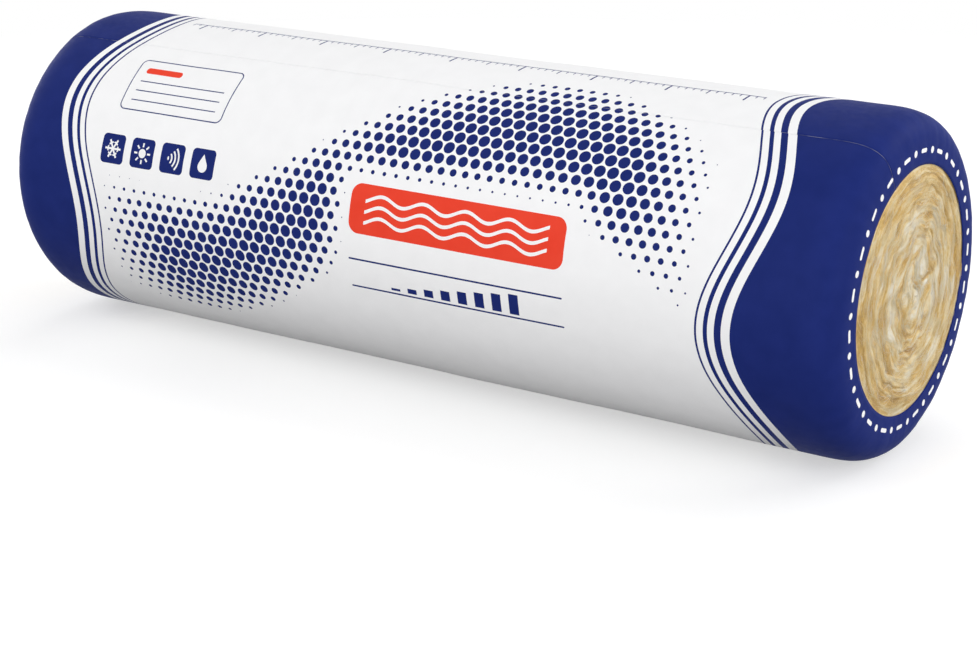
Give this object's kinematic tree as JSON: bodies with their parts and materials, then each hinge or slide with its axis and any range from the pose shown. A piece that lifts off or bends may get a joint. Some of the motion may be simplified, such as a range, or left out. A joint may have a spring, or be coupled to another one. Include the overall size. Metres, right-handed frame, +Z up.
{
  "type": "insulation roll",
  "caption": "Glass wool insulation mat wound into a compressed roll and held by a printed film sleeve with rounded shoulders and a round opening at each end.",
  "frame": {"origin": "on the floor under the middle of the roll", "axes": "+X along the roll's axis, +Z up, -Y the printed front of the sleeve"},
  "size_m": [1.2004, 0.3999, 0.4],
  "materials": {
    "glass_wool": "soft matted fibre, cream with ochre streaks",
    "printed_film": "white polyethylene film printed in navy and red, satin"
  },
  "bodies": {
    "root": {"wool_roll": "glass_wool", "film_sleeve": "printed_film"}
  },
  "joints": []
}
